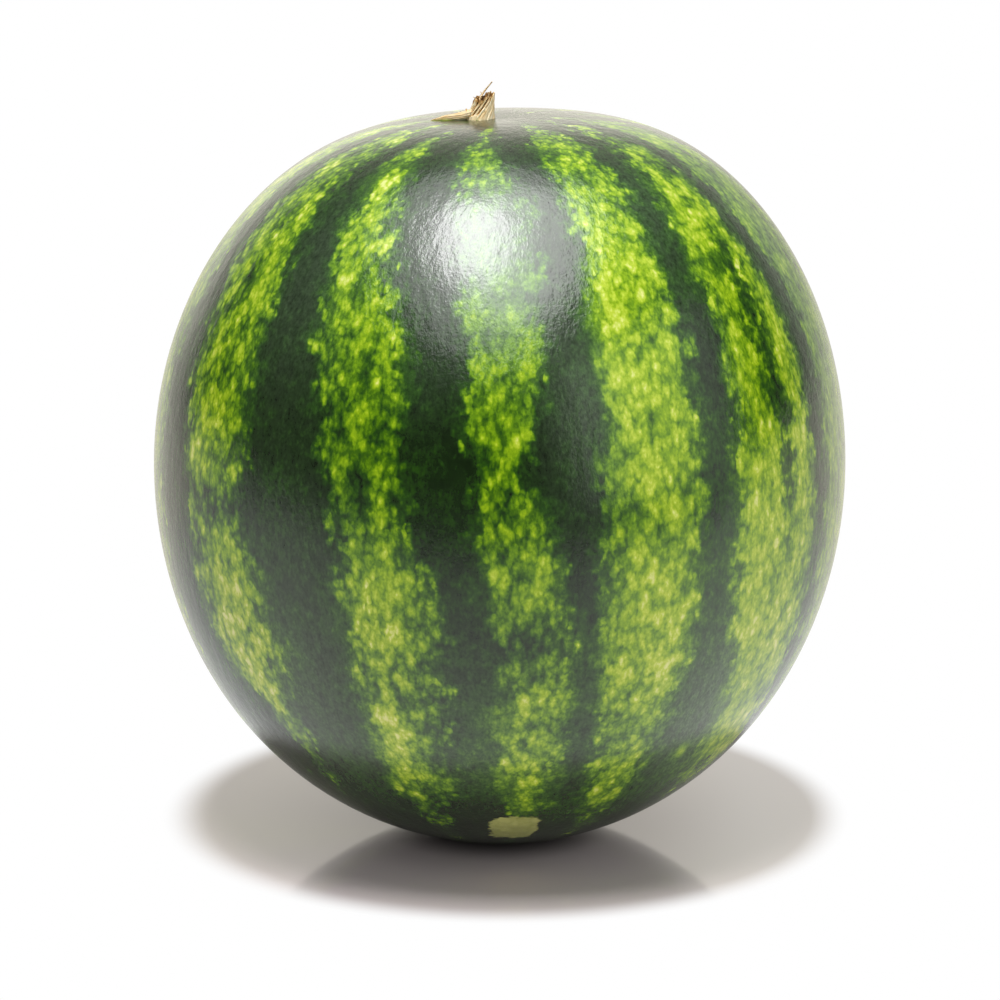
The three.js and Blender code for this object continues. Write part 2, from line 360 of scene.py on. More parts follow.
def rind_points(directions):
    """Where the rind is in those directions from the fruit's centre."""
    up = directions[:, 2]
    longitude = np.arctan2(directions[:, 0], -directions[:, 1])
    lobe = LOBE_DEPTH * (1 - up ** 2) * np.cos(LOBE_COUNT * (longitude - LOBE_TURN))
    x, y, height = (directions * (plain_radius(up) + lobe)[:, None]).T
    upper = np.maximum(up, 0)
    flattening = CROWN_DEPTH * bump(np.hypot(x, y) / CROWN_WIDTH)
    dimple = DIMPLE_DEPTH * bump(np.hypot(x - STEM_X, y) / DIMPLE_WIDTH)
    z = centre_height() + height + upper * (CROWN_LEAN * x - flattening - dimple)
    above_foot = (z - FRUIT_LOW.z / MM) / FOOT_SOFTNESS
    z = FRUIT_LOW.z / MM + FOOT_SOFTNESS * np.logaddexp(0, above_foot)
    return np.stack([x, y, z], axis=1)


def stripe_course(points, latitude):
    """Middle and half width of a stripe at each latitude, from a few points along it."""
    lats, middles, halves = np.array(sorted(points)).T
    return np.interp(latitude, lats, middles), np.interp(latitude, lats, halves)


def stripe_courses(latitude):
    """Middle and half width of every dark stripe at each latitude."""
    for points in FRONT_STRIPES.values():
        yield stripe_course(points, latitude)
    for number, (middle, half) in enumerate(BACK_STRIPES):
        phase = BACK_PHASE * number
        sway = BACK_SWAY * np.sin(np.radians(BACK_SWAY_PACE * latitude) + phase)
        pulse = BACK_PULSE * np.sin(np.radians(BACK_PULSE_PACE * latitude) + 2 * phase)
        yield middle + sway, half + pulse


def half_turned(degrees):
    """The same direction, between -180 and 180 degrees."""
    return (degrees + 180) % 360 - 180


def stripe_distance(longitude, latitude):
    """How far each point is from the nearest edge of a dark stripe, in millimetres along the
    girth. It is below 0 inside the dark stripes."""
    width = np.radians(1) * GIRTH_RADIUS * np.cos(np.radians(latitude)) ** NARROWING
    nearest = np.full(len(longitude), np.inf)
    for middle, half in stripe_courses(latitude):
        away = np.abs(half_turned(longitude - middle))
        nearest = np.minimum(nearest, (away - half) * width)
    blossom_end = BLOSSOM_END_SPREAD * smoothstep(*BLOSSOM_END, latitude)
    stem_end = STEM_END_SPREAD * smoothstep(*STEM_END, latitude)
    return nearest - blossom_end - stem_end


def patch_change(patches, longitude, latitude):
    """The sum of the patches' changes at each point."""
    change = np.zeros(len(longitude))
    for middle, height, half_width, half_height, strength in patches.values():
        across = half_turned(longitude - middle) / half_width
        change += strength * bump(np.hypot(across, (latitude - height) / half_height))
    return change


def scar_nearness(longitude, latitude):
    """1 in the middle of the pale scar, 0 on its edge and below 0 outside."""
    middle, height, half_width, half_height = SCAR
    across = np.abs(longitude - middle) / half_width
    up = np.abs(latitude - height) / half_height
    squareness = 4
    return 1 - (across ** squareness + up ** squareness) ** (1 / squareness)


def rind_grain(longitude, latitude):
    """Each point's place in the space that the rind's noises fill, in millimetres. Z runs along
    the meridians."""
    across = GIRTH_RADIUS * np.cos(np.radians(latitude)) ** NARROWING
    turn = np.radians(longitude)
    along = np.radians(latitude) * GIRTH_RADIUS
    return np.stack([across * np.sin(turn), -across * np.cos(turn), along], axis=1)


def make_rind():
    directions, faces, map_places = cube_sphere(RIND_CELLS)
    rind = make_object("rind", rind_points(directions), faces.tolist())
    latitude = np.degrees(np.arcsin(np.clip(directions[:, 2], -1, 1)))
    longitude = np.degrees(np.arctan2(directions[:, 0], -directions[:, 1]))
    add_vector(rind.data, "grain", rind_grain(longitude, latitude))
    add_number(rind.data, "stripe", stripe_distance(longitude, latitude))
    add_number(rind.data, "patch", patch_change(PATCHES, longitude, latitude))
    add_number(rind.data, "contrast", 1 - patch_change(CALM_PATCHES, longitude, latitude))
    # painted sheen: a grey reflection of the room painted into the colour
    add_number(rind.data, "painted_sheen", patch_change(PAINTED_SHEEN_PATCHES, longitude, latitude))
    add_number(rind.data, "scar", scar_nearness(longitude, latitude))
    layer = rind.data.uv_layers.new(name=BAKE_MAP)
    layer.data.foreach_set("uv", map_places.reshape(-1).astype(np.float32))
    rind.data.materials.append(rind_material())
    return rind


# ---- The stem ----

def closed_skin(rings):
    """Points and faces of a closed body over rings of points. A point in the middle of the first
    ring and one in the middle of the last close its ends."""
    count, sides = rings.shape[:2]
    points = np.concatenate([rings.reshape(-1, 3), rings[0].mean(0)[None], rings[-1].mean(0)[None]])
    side = np.arange(sides)
    following = (side + 1) % sides
    faces = []
    for ring in range(count - 1):
        low, high = ring * sides, (ring + 1) * sides
        square = [low + side, low + following, high + following, high + side]
        faces += np.stack(square, axis=1).tolist()
    start, end = count * sides, count * sides + 1
    top = (count - 1) * sides
    faces += [[start, int(after), int(before)] for before, after in zip(side, following)]
    faces += [[end, top + int(before), top + int(after)] for before, after in zip(side, following)]
    return points, faces


def strands(turn, along):
    """Height of the fibres' fine ridges, in millimetres."""
    return sum(height * np.sin(count * turn + phase + reach * np.sin(pace * along))
               for height, count, phase, reach, pace in RIDGES)


def slit_depth(turn, height):
    depth = np.zeros_like(height)
    for low_turn, low, high_turn, high, half_width, cut in SLITS:
        share = (height - low) / (high - low)
        middle = np.radians(low_turn + (high_turn - low_turn) * share)
        across = ((turn - middle + math.pi) % (2 * math.pi) - math.pi) * STUB_RADIUS
        ends = np.sqrt(np.clip(4 * share * (1 - share), 0, 1))
        depth = np.maximum(depth, cut * ends * bump(across / half_width))
    return depth


def torn_edge(turn):
    """Height of the torn edge round the stub."""
    teeth = sum(share * np.sin(count * turn + phase) for count, phase, share in TEETH)
    rise = TORN_SLOPE * np.sin(turn) - TORN_BACK_RISE * np.cos(turn)
    return TORN_HEIGHT + TORN_RADIUS * rise + TORN_RAGGED * teeth


def stub_shade(turn, below_edge, cut, sunk):
    """How dark the stub is: painted shade in its slits and in the hollow, and darker below the torn
    edge.
    """
    share = np.clip(EDGE_DARK_SHARE - EDGE_DARK_LEAN * np.sin(turn), 0, 1)
    darker_edge = EDGE_DARKNESS * smoothstep(EDGE_DARK_REACH, 0.0, below_edge) * share
    shade = np.clip(cut / SLIT_DARK_DEPTH, 0, 1) + darker_edge
    shade[STUB_ROWS:] = HOLLOW_SHADE + (1 - HOLLOW_SHADE) * sunk
    return shade


def stub_rings(turn, height, scale, swell):
    """The stub's points, from its sections, the width of the hollow and the fibres' relief."""
    heights, middles, half_widths, half_depths = np.array(STUB_SECTIONS).T
    width = np.interp(height, heights, half_widths) * scale + swell
    depth = np.interp(height, heights, half_depths) * scale + swell
    middle = np.interp(height, heights, middles)
    return np.stack([middle + width * np.sin(turn), -depth * np.cos(turn), height], axis=-1)


def stub_body():
    """The stub's skin: up its outside, over the torn edge and down into the hollow. The turn is
    its longitude."""
    turn = np.linspace(0, 2 * math.pi, STUB_SIDES, endpoint=False)
    turn = np.tile(turn, (STUB_ROWS + HOLLOW_ROWS, 1))
    edge = torn_edge(turn)
    risen = np.linspace(0, 1, STUB_ROWS)[:, None]
    outside = -STEM_FOOT + (edge[:STUB_ROWS] + STEM_FOOT) * risen
    sunk = np.linspace(0, 1, HOLLOW_ROWS)[:, None]
    inside = edge[STUB_ROWS:] - HOLLOW_DEPTH * sunk ** HOLLOW_CURVE
    height = np.concatenate([outside, inside])
    fibre_turn = turn - FIBRE_LEAN * height
    cut = slit_depth(turn, height)
    swell = strands(fibre_turn, height) - cut
    mouth = WALL_SCALE + (HOLLOW_SCALE - WALL_SCALE) * sunk
    scale = np.concatenate([np.ones_like(risen), mouth])
    rings = stub_rings(turn, height, scale, swell)
    across, forward = STUB_RADIUS * np.sin(fibre_turn), -STUB_RADIUS * np.cos(fibre_turn)
    grain = np.stack([across, forward, height], axis=-1)
    return rings, grain, stub_shade(turn, edge - height, cut, sunk)


def smooth_course(stations, steps):
    """A Catmull-Rom spline through rows of numbers, with so many steps between two rows."""
    rows = np.array(stations)
    rows = np.concatenate([2 * rows[:1] - rows[1:2], rows, 2 * rows[-1:] - rows[-2:-1]])
    course = []
    for number in range(1, len(rows) - 2):
        before, start, end, after = rows[number - 1:number + 3]
        for share in np.arange(steps) / steps:
            pull = (end - before) * share + (2 * before - 5 * start + 4 * end - after) * share ** 2
            bend = (3 * (start - end) + after - before) * share ** 3
            course.append(start + (pull + bend) / 2)
    course.append(rows[-2])
    return np.array(course)


def strip_axes(middle):
    """Directions sideways and upwards, square to a course at each of its points."""
    heading = np.gradient(middle, axis=0)
    heading /= np.linalg.norm(heading, axis=1, keepdims=True)
    sideways = np.cross(heading, (0, 0, 1.0))
    steep = np.linalg.norm(sideways, axis=1, keepdims=True) < STEEP
    sideways = np.where(steep, np.cross(heading, (-1.0, 0, 0)), sideways)
    sideways /= np.linalg.norm(sideways, axis=1, keepdims=True)
    return sideways, np.cross(sideways, heading)


def strip_body(stations, sides, steps, ridge):
    """A strip or fibre that runs through its stations, with ridges along it."""
    course = smooth_course(stations, steps)
    middle = course[:, :3]
    sideways, upwards = strip_axes(middle)
    lengths = np.linalg.norm(np.diff(middle, axis=0), axis=1)
    along = np.concatenate([[0], np.cumsum(lengths)])[:, None]
    turn = np.linspace(0, 2 * math.pi, sides, endpoint=False)
    ridges = ridge * strands(turn[None], along)
    thick, wide = course[:, 3:4] * (1 + ridges), course[:, 4:5] * (1 + ridges)
    rings = (middle[:, None] + (wide * np.cos(turn))[..., None] * sideways[:, None]
             + (thick * np.sin(turn))[..., None] * upwards[:, None])
    radius = stations[0][4]
    places = [radius * np.sin(turn) + STRIP_GRAIN_SHIFT, radius * np.cos(turn), along]
    grain = np.stack([np.broadcast_to(place, thick.shape) for place in places], axis=-1)
    # darker towards the tip, and painted shade between the ridges
    return rings, grain, TIP_SHADE * (along / along[-1]) ** 3 - RIDGE_SHADE * ridges


def stem_base():
    """The point of the crown where the stem's axis meets it."""
    direction = np.array([[STEM_X, 0, plain_radius(1)]])
    return rind_points(direction / np.linalg.norm(direction))[0]


def make_stem():
    """One grown piece: the stub, the strip peeled off to the left and some standing fibres."""
    bodies = [stub_body(), strip_body(PEELED_STRIP, sides=64, steps=14, ridge=1.0),
              strip_body(WHISKER, sides=20, steps=10, ridge=0.6)]
    bodies += [strip_body(fibre, sides=14, steps=8, ridge=0.5) for fibre in FIBRES]
    points, faces, grains, shades = [], [], [], []
    for rings, grain, shade in bodies:
        body_points, body_faces = closed_skin(rings)
        start = sum(len(part) for part in points)
        faces += [[start + corner for corner in face] for face in body_faces]
        points.append(body_points)
        ends = [grain[0].mean(0)[None], grain[-1].mean(0)[None]]
        grains.append(np.concatenate([grain.reshape(-1, 3), *ends]))
        shades.append(np.concatenate([shade.ravel(), [shade[0].mean(), shade[-1].mean()]]))
    stem = make_object("stem", np.concatenate(points) + stem_base(), faces)
    add_vector(stem.data, "grain", np.concatenate(grains))
    add_number(stem.data, "shade", np.concatenate(shades))
    stem.data.materials.append(stem_material())
    return stem


# ---- Materials ----

CELL_SOFTNESS = 0.35
CELL_REACH = 0.38       # a usual distance from the middle of a cell, in cells
CELL_RUFFLE = 0.9       # how far noise pushes the cells' sides, in cells
CELL_RUFFLE_SCALE = 1.3
CELL_RUFFLE_DETAIL = 1.5


class Nodes:
    """Short calls that build the nodes of one material or of the world."""

    def __init__(self, tree):
        self.tree = tree

    def add(self, kind, values=None, **settings):
        node = self.tree.nodes.new(kind)
        for name, value in settings.items():
            setattr(node, name, value)
        for socket, value in (values or {}).items():
            self.give(node.inputs[socket], value)
        return node

    def give(self, socket, value):
        if isinstance(value, bpy.types.NodeSocket):
            self.tree.links.new(value, socket)
        else:
            socket.default_value = value

    def attribute(self, name, output="Fac"):
        return self.add("ShaderNodeAttribute", attribute_name=name).outputs[output]

    def maths(self, operation, *values):
        values = dict(enumerate(values))
        return self.add("ShaderNodeMath", values, operation=operation).outputs[0]

    def total(self, *terms):
        """The sum of each value times its weight, given as pairs."""
        result = 0.0
        for value, weight in terms:
            result = self.maths("MULTIPLY_ADD", value, weight, result)
        return result

    def stretched(self, grain, size, stretch, shift):
        """The grain's place in units of size, or of size times stretch along the meridian."""
        scale = (1 / size, 1 / size, 1 / size / stretch)
        return self.add("ShaderNodeVectorMath", {0: grain, 1: scale, 2: (shift,) * 3},
                        operation="MULTIPLY_ADD").outputs[0]

    def noise(self, grain, size, stretch=1.0, detail=2.0, roughness=0.5, shift=0.0):
        """Cloudy noise round 0, with spots of about that size in millimetres across and longer
        by stretch along the meridian. Another shift gives another noise."""
        place = self.stretched(grain, size, stretch, shift)
        values = {"Vector": place, "Scale": 1.0, "Detail": detail, "Roughness": roughness}
        node = self.add("ShaderNodeTexNoise", values)
        return self.maths("SUBTRACT", node.outputs["Fac"], 0.5)

    def cells(self, grain, size, stretch=1.0, shift=0.0):
        """Rounded cells with soft sides: a lightness of its own for each, round 0, and how near
        the middle of its cell a point is, round 0 too."""
        place = self.stretched(grain, size, stretch, shift)
        ruffle = self.add("ShaderNodeTexNoise", {
            "Vector": place, "Scale": CELL_RUFFLE_SCALE, "Detail": CELL_RUFFLE_DETAIL})
        moved = self.add("ShaderNodeVectorMath", {
            0: ruffle.outputs["Color"], 1: (CELL_RUFFLE,) * 3, 2: place}, operation="MULTIPLY_ADD")
        values = {"Vector": moved.outputs[0], "Scale": 1.0, "Smoothness": CELL_SOFTNESS}
        node = self.add("ShaderNodeTexVoronoi", values, feature="SMOOTH_F1")
        own = self.maths("SUBTRACT", node.outputs["Color"], 0.5)
        return own, self.maths("SUBTRACT", CELL_REACH, node.outputs["Distance"])

    def distance(self, place):
        """How far a place is from the origin."""
        node = self.add("ShaderNodeVectorMath", {0: place}, operation="LENGTH")
        return node.outputs["Value"]

    def ramp(self, value, stops):
        node = self.add("ShaderNodeValToRGB", {"Fac": value})
        ramp = node.color_ramp
        while len(ramp.elements) < len(stops):
            ramp.elements.new(0.5)
        for element, (place, colour) in zip(ramp.elements, stops):
            element.position = place
            element.color = colour
        return node.outputs["Color"]

    def step(self, value, low, high, start=0.0, end=1.0):
        """start below low, end above high and smooth between them."""
        values = {"Value": value, "From Min": low, "From Max": high, "To Min": start,
                  "To Max": end}
        node = self.add("ShaderNodeMapRange", values, interpolation_type="SMOOTHSTEP")
        return node.outputs["Result"]

    def mix(self, share, first, second):
        node = self.add("ShaderNodeMix", data_type="RGBA")
        self.give(node.inputs["Factor"], share)
        self.give(node.inputs["A"], first)
        self.give(node.inputs["B"], second)
        return node.outputs["Result"]

    def bumps(self, height, distance):
        values = {"Height": height, "Distance": distance}
        return self.add("ShaderNodeBump", values).outputs["Normal"]


def new_material(name):
    """A material's nodes and its shader."""
    material = bpy.data.materials.new(name)
    material.use_nodes = True
    nodes = Nodes(material.node_tree)
    return material, nodes, material.node_tree.nodes["Principled BSDF"]


def set_shader(nodes, shader, values):
    for socket, value in values.items():
        nodes.give(shader.inputs[socket], value)


RELIEF = 0.20           # millimetres that a height of 1 stands for on the rind
STEM_RELIEF = 0.5       # and on the stem
RIND_ROUGHNESS = 0.40
STEM_ROUGHNESS = 0.72
GREENER_BELOW = 45.0    # from this height over the girth down to as far below it, the dark
GREENER = 0.08          # gets so much paler
PALER_MIDDLE = 0.08     # and the middle of a pale stripe is so much paler than its sides
# Between which distances from a dark stripe's edge, in millimetres once the noise is added, the
# colour changes: to a pale stripe, to the deep green of the edge, and to the paler middle
LIGHT_BORDER = (-2.8, 3.6)
DEEP_BORDER = (-7.0, 0.5)
PALER_BORDER = (1.0, 9.0)
SCAR_BORDER = (0.02, 0.16)      # where the scar begins, from 0 on its edge to 1 in its middle
PAINTED_SHEEN_UNEVENNESS = 1.6          # how much the fine noises thicken and thin the painted sheen

# From the middle of a dark stripe, over the deep green of its edge, to the palest spots
RIND_COLOURS = [
    (0.00, srgb(12, 28, 6)),
    (0.17, srgb(23, 47, 11)),
    (0.30, srgb(36, 74, 9)),
    (0.42, srgb(64, 106, 0)),
    (0.54, srgb(102, 146, 0)),
    (0.66, srgb(146, 182, 8)),
    (0.78, srgb(188, 210, 54)),
    (0.92, srgb(226, 232, 140)),
]
DARKEST = 0.155         # where a dark stripe is in those colours
DEEP_RISE = 0.15        # how much further the deep green of its edge is
LIGHT_RISE = 0.26       # and how much further than that a pale stripe is
# The grey of the painted sheen
PAINTED_SHEEN_COLOUR = srgb(170, 190, 164)
SCAR_COLOURS = [(0.0, srgb(146, 154, 64)), (1.0, srgb(226, 232, 146))]


def rind_textures(nodes, grain):
    """The noises that several of the rind's markings share, by name."""
    large, large_middle = nodes.cells(grain, 5.4, 1.5, shift=35)
    small, small_middle = nodes.cells(grain, 2.8, 1.6, shift=43)
    return {
        "large": large,
        "large_middle": large_middle,
        "small": small,
        "small_middle": small_middle,
        "jagged": nodes.noise(grain, 4.5, 0.5, detail=2, shift=7),
        "streaks": nodes.noise(grain, 1.8, 1.8, detail=2, shift=65),
        "speckle": nodes.noise(grain, 0.9, 1.4, detail=2, shift=77),
    }


def stripe_masks(nodes, grain, textures):
    """How far a point is out of the dark stripes, and how far out of their dark middles. The
    weights say how far each noise moves the two borders, in millimetres."""
    stripe = nodes.attribute("stripe")
    lobed = nodes.noise(grain, 12, 0.9, detail=2)
    halo = nodes.noise(grain, 7, 0.5, detail=2, shift=14)
    blobs = nodes.total((textures["large"], 7.0), (textures["small"], 4.0),
                        (textures["small_middle"], 1.5))
    border = nodes.total((stripe, 1.0), (lobed, 15.0), (textures["jagged"], 8.0), (blobs, 1.0))
    deep_border = nodes.total((stripe, 1.0), (lobed, 12.0), (halo, 14.0), (textures["small"], 3.0))
    return nodes.step(border, *LIGHT_BORDER), nodes.step(deep_border, *DEEP_BORDER)


def pale_mottle(nodes, grain, textures):
    """The mottle of the pale stripes, round 0. Its weights are lengths along RIND_COLOURS."""
    clusters = nodes.noise(grain, 14, 1.5, detail=1.5, shift=21)
    islands = nodes.noise(grain, 7.5, 1.2, detail=1.5, shift=71)
    strokes = nodes.noise(grain, 1.8, 2.0, detail=1, shift=57)
    return nodes.total((clusters, 0.43), (islands, 0.38), (textures["large"], 0.23),
                       (textures["large_middle"], 0.16), (textures["small"], 0.24),
                       (textures["small_middle"], 0.21), (strokes, 0.15))


def faint_shade(nodes, grain, textures):
    """The faint clouds and streaks that lie over the dark and the pale alike, round 0 and
    weighed in the same way."""
    clouds = nodes.noise(grain, 10, 1.4, detail=2, shift=87)
    return nodes.total((textures["streaks"], 0.28), (textures["speckle"], 0.26), (clouds, 0.28),
                       (textures["small_middle"], 0.14))


def rind_paleness(nodes, grain, textures, mottle):
    """Each point's place in RIND_COLOURS."""
    light, deep = stripe_masks(nodes, grain, textures)
    along = nodes.add("ShaderNodeSeparateXYZ", {0: grain}).outputs["Z"]
    lower = nodes.step(along, GREENER_BELOW, -GREENER_BELOW, 0.0, GREENER)
    greener = nodes.maths("MULTIPLY", lower, nodes.maths("SUBTRACT", 1.0, light))
    shade = faint_shade(nodes, grain, textures)
    depth = nodes.total((deep, DEEP_RISE), (light, LIGHT_RISE), (DARKEST, 1.0), (shade, 1.0),
                        (greener, 1.0))
    middle = nodes.step(nodes.attribute("stripe"), *PALER_BORDER, 0.0, PALER_MIDDLE)
    strength = nodes.maths("MULTIPLY", light, nodes.attribute("contrast"))
    mottled = nodes.maths("MULTIPLY", nodes.maths("ADD", mottle, middle), strength)
    return nodes.total((depth, 1.0), (mottled, 1.0), (nodes.attribute("patch"), 1.0))


def rind_colour(nodes, grain):
    textures = rind_textures(nodes, grain)
    mottle = pale_mottle(nodes, grain, textures)
    paleness = rind_paleness(nodes, grain, textures, mottle)
    # A grey painted sheen over the pattern, where the gloss reflects the softbox, table and
    # backdrop
    uneven = nodes.total((textures["speckle"], PAINTED_SHEEN_UNEVENNESS),
                         (textures["streaks"], PAINTED_SHEEN_UNEVENNESS), (1.0, 1.0))
    painted_sheen = nodes.maths("MULTIPLY", nodes.attribute("painted_sheen"), uneven)
    pattern = nodes.mix(painted_sheen, nodes.ramp(paleness, RIND_COLOURS), PAINTED_SHEEN_COLOUR)
    scar_edge = nodes.total((nodes.attribute("scar"), 1.0), (textures["jagged"], 0.5),
                            (textures["large"], 0.2))
    olive = nodes.ramp(nodes.total((mottle, 0.8), (0.5, 1.0)), SCAR_COLOURS)
    return nodes.mix(nodes.step(scar_edge, *SCAR_BORDER), pattern, olive)


def rind_material():
    material, nodes, shader = new_material("rind")
    grain = nodes.attribute("grain", "Vector")
    ripples = nodes.noise(grain, 4.5, 3.0, detail=1, shift=11)
    wrinkles = nodes.noise(grain, 1.1, 1.5, detail=2, roughness=0.6, shift=33)
    height = nodes.total((ripples, 0.9), (wrinkles, 0.55))
    relief = nodes.bumps(height, RELIEF * MM)
    set_shader(nodes, shader, {
        "Base Color": rind_colour(nodes, grain),
        "Roughness": nodes.total((wrinkles, 0.10), (RIND_ROUGHNESS, 1.0)),
        "IOR": 1.12,
        "Coat Weight": 1.0,
        "Coat Roughness": 0.18,
        "Coat IOR": 1.56,
        "Normal": relief,
        "Coat Normal": relief,
    })
    return material


# From the painted shade in the slits and the hollow to the palest fibres
STEM_COLOURS = [
    (0.00, srgb(84, 52, 6)),
    (0.22, srgb(150, 104, 38)),
    (0.42, srgb(224, 184, 122)),
    (0.62, srgb(248, 222, 174)),
    (0.90, srgb(255, 250, 226)),
]


def stem_material():
    material, nodes, shader = new_material("dry_stem")
    grain = nodes.attribute("grain", "Vector")
    fibres = nodes.noise(grain, 0.45, 9.0, detail=3, shift=5)
    patches = nodes.noise(grain, 2.4, 1.6, detail=2, shift=15)
    shade = nodes.attribute("shade")
    # the shade attribute holds painted shade in the slits, hollow and grooves, and the darker tips
    paleness = nodes.total((fibres, 1.1), (patches, 0.5), (shade, -0.62), (0.64, 1.0))
    set_shader(nodes, shader, {
        "Base Color": nodes.ramp(paleness, STEM_COLOURS),
        "Roughness": nodes.total((fibres, 0.2), (STEM_ROUGHNESS, 1.0)),
        "IOR": 1.4,
        "Normal": nodes.bumps(fibres, STEM_RELIEF * MM),
    })
    return material


# ---- Studio ----

CAMERA_ELEVATION = 13.0     # degrees above the horizon
CAMERA_DISTANCE = 1600.0
CAMERA_LENS = 157.5         # on Blender's 36 mm wide sensor
AIM_HEIGHT = 124.4          # the point above the flat spot that is in the middle of the picture
WHITE, BLACK = (1.0, 1.0, 1.0, 1.0), (0.0, 0.0, 0.0, 1.0)

# From here on lengths are in metres. A pair says where something begins and where it is complete.
FLOOR_RADIUS = 20.0
TABLE_COLOUR = (0.88, 0.775, 0.785, 1.0)
# The pool of shadow, past which the table is plain white: where it fades, its middle, how much
# narrower than deep it is, and the part on the right that is paler, where white is painted over the
# shadow as painted light
POOL_EDGE = (0.116, 0.136)
POOL_MIDDLE = (0.002, 0.020)
POOL_SQUEEZE = 1.05
POOL_RIGHT, POOL_RIGHT_FADE = (0.05, 0.10), 0.12
# The gap round the flat spot, where little light gets in, and the share of the table's colour that
# is left in it
SHELTER, SHELTER_LEVEL = (0.015, 0.046), 0.15
MIRRORED_LOSS = 0.4         # share of the table's own colour that mirror rays miss everywhere
# The table as the fruit's gloss shows it: bright close by, dimmer with distance, a little brighter
# on the right and warmer behind
TABLE_LEVEL = 0.95
TABLE_LIT_ASIDE = 0.9
TABLE_LIT_FORWARD = 0.36
TABLE_DIMS = (0.1, 2.6)     # in units of those two reaches
DIM_DEPTH = (-0.2, 0.3)     # from front to back
DIM_FRONT, DIM_BACK = 0.9, 0.3
RIGHT_LIFT = 0.45
RIGHT_LIFT_ASIDE = (0.04, 0.20)
RIGHT_LIFT_DEPTH = (0.12, -0.12)
WARM_DEPTH = (0.0, 0.4)

# What mirror rays see of the room, by direction: X to the right, Y to the back and Z up
ROOM_DARK = 0.02            # in front and at the sides
ROOM_LEFT = 0.05            # and far to the left
ROOM_ASIDE = (-0.70, -0.98)
BACKDROP_LOW = 1.40         # straight behind, near the table
BACKDROP_HIGH = 0.54        # higher up behind and to the right
BACKDROP_COLOUR = (1.0, 0.95, 0.85, 1.0)
BACKDROP_DEPTH = (0.48, 0.88)
GLARE_HEIGHT = (0.50, 0.25)
GLARE_RIGHT = (0.35, 0.05)
GLARE_LEFT, GLARE_LEFT_LEVEL = (-0.60, -0.10), 0.6
ROOM_FILL = 0.34            # the even light from everywhere

# The softbox over the fruit, and its image in the gloss, which is round and fades outwards:
# X, Y, how far it is under the softbox, width, depth and brightness
SOFTBOX_HEIGHT = 1.25
SOFTBOX = {"size": (0.47, 0.47), "radiance": 18.6}
SOFTBOX_PLACE = (-0.06, -0.38)
SHINES = {
    "softbox_core": (-0.165, -0.285, 0.06, 0.40, 0.70, 10.5),
    "softbox_shine": (0.02, -0.42, 0.03, 0.92, 1.25, 3.9),
    "softbox_glow": (-0.13, -0.52, 0.0, 1.35, 2.1, 2.7),
}
# A dim panel on the right, which lights that side and shows in its gloss, and a weak lamp in front
# that no gloss shows
RIGHT_PANEL = {"place": (1.45, -1.0, 0.60), "aim": (0, 0, 0.12), "size": (2.1, 1.5),
               "radiance": 0.72}
FRONT_FILL = {"place": (-0.6, -2.0, 0.8), "aim": (0, 0, 0.14), "size": (1.2, 1.2),
              "radiance": 0.5}


def make_camera():
    """A camera in front of the fruit that looks down at it a little."""
    data = bpy.data.cameras.new("camera")
    data.lens = CAMERA_LENS
    data.clip_start, data.clip_end = 0.1, 100
    camera = bpy.data.objects.new("camera", data)
    tilt = math.radians(CAMERA_ELEVATION)
    back = Vector((0, -math.cos(tilt), math.sin(tilt)))
    camera.location = Vector((0, 0, AIM_HEIGHT * MM)) + back * CAMERA_DISTANCE * MM
    camera.rotation_euler = (-back).to_track_quat("-Z", "Y").to_euler()
    bpy.context.collection.objects.link(camera)
    bpy.context.scene.camera = camera


def shadow_pool(nodes, place, parts):
    """0 in the pool of shadow and 1 where the table has faded to plain white. On the right some
    white is painted over the shadow, as painted light.
    """
    shift = (-POOL_MIDDLE[0] * POOL_SQUEEZE, -POOL_MIDDLE[1], 0.0)
    from_pool = nodes.add("ShaderNodeVectorMath", {
        0: place, 1: (POOL_SQUEEZE, 1.0, 1.0), 2: shift}, operation="MULTIPLY_ADD").outputs[0]
    faded = nodes.step(nodes.distance(from_pool), *POOL_EDGE)
    return nodes.maths("MAXIMUM", faded, nodes.step(parts["X"], *POOL_RIGHT, 0.0, POOL_RIGHT_FADE))


def mirrored_table(nodes, parts):
    """How bright the table is to a mirror ray."""
    sideways = nodes.maths("DIVIDE", parts["X"], TABLE_LIT_ASIDE)
    forward = nodes.maths("MINIMUM", nodes.maths("DIVIDE", parts["Y"], TABLE_LIT_FORWARD), 0.0)
    square = nodes.total((nodes.maths("POWER", sideways, 2.0), 1.0),
                         (nodes.maths("POWER", forward, 2.0), 1.0))
    most = nodes.step(parts["Y"], *DIM_DEPTH, DIM_FRONT, DIM_BACK)
    dimming = nodes.step(nodes.maths("SQRT", square), *TABLE_DIMS, 0.0, most)
    right_lift = nodes.maths("MULTIPLY",
                             nodes.step(parts["X"], *RIGHT_LIFT_ASIDE, 0.0, RIGHT_LIFT),
                             nodes.step(parts["Y"], *RIGHT_LIFT_DEPTH))
    return nodes.maths("MULTIPLY", nodes.maths("SUBTRACT", 1.0, dimming),
                       nodes.maths("ADD", TABLE_LEVEL, right_lift))


def table_glow(nodes, parts, mirror):
    """The white that replaces the table past the pool: plain to the camera, and dimmer with
    distance to mirror rays."""
    camera = nodes.maths("SUBTRACT", 1.0, mirror)
    level = nodes.total((mirrored_table(nodes, parts), mirror), (camera, 1.0))
    warmth = nodes.maths("MULTIPLY", nodes.step(parts["Y"], *WARM_DEPTH), mirror)
    colour = nodes.mix(warmth, WHITE, BACKDROP_COLOUR)
    return nodes.add("ShaderNodeEmission", {"Color": colour, "Strength": level}).outputs[0]


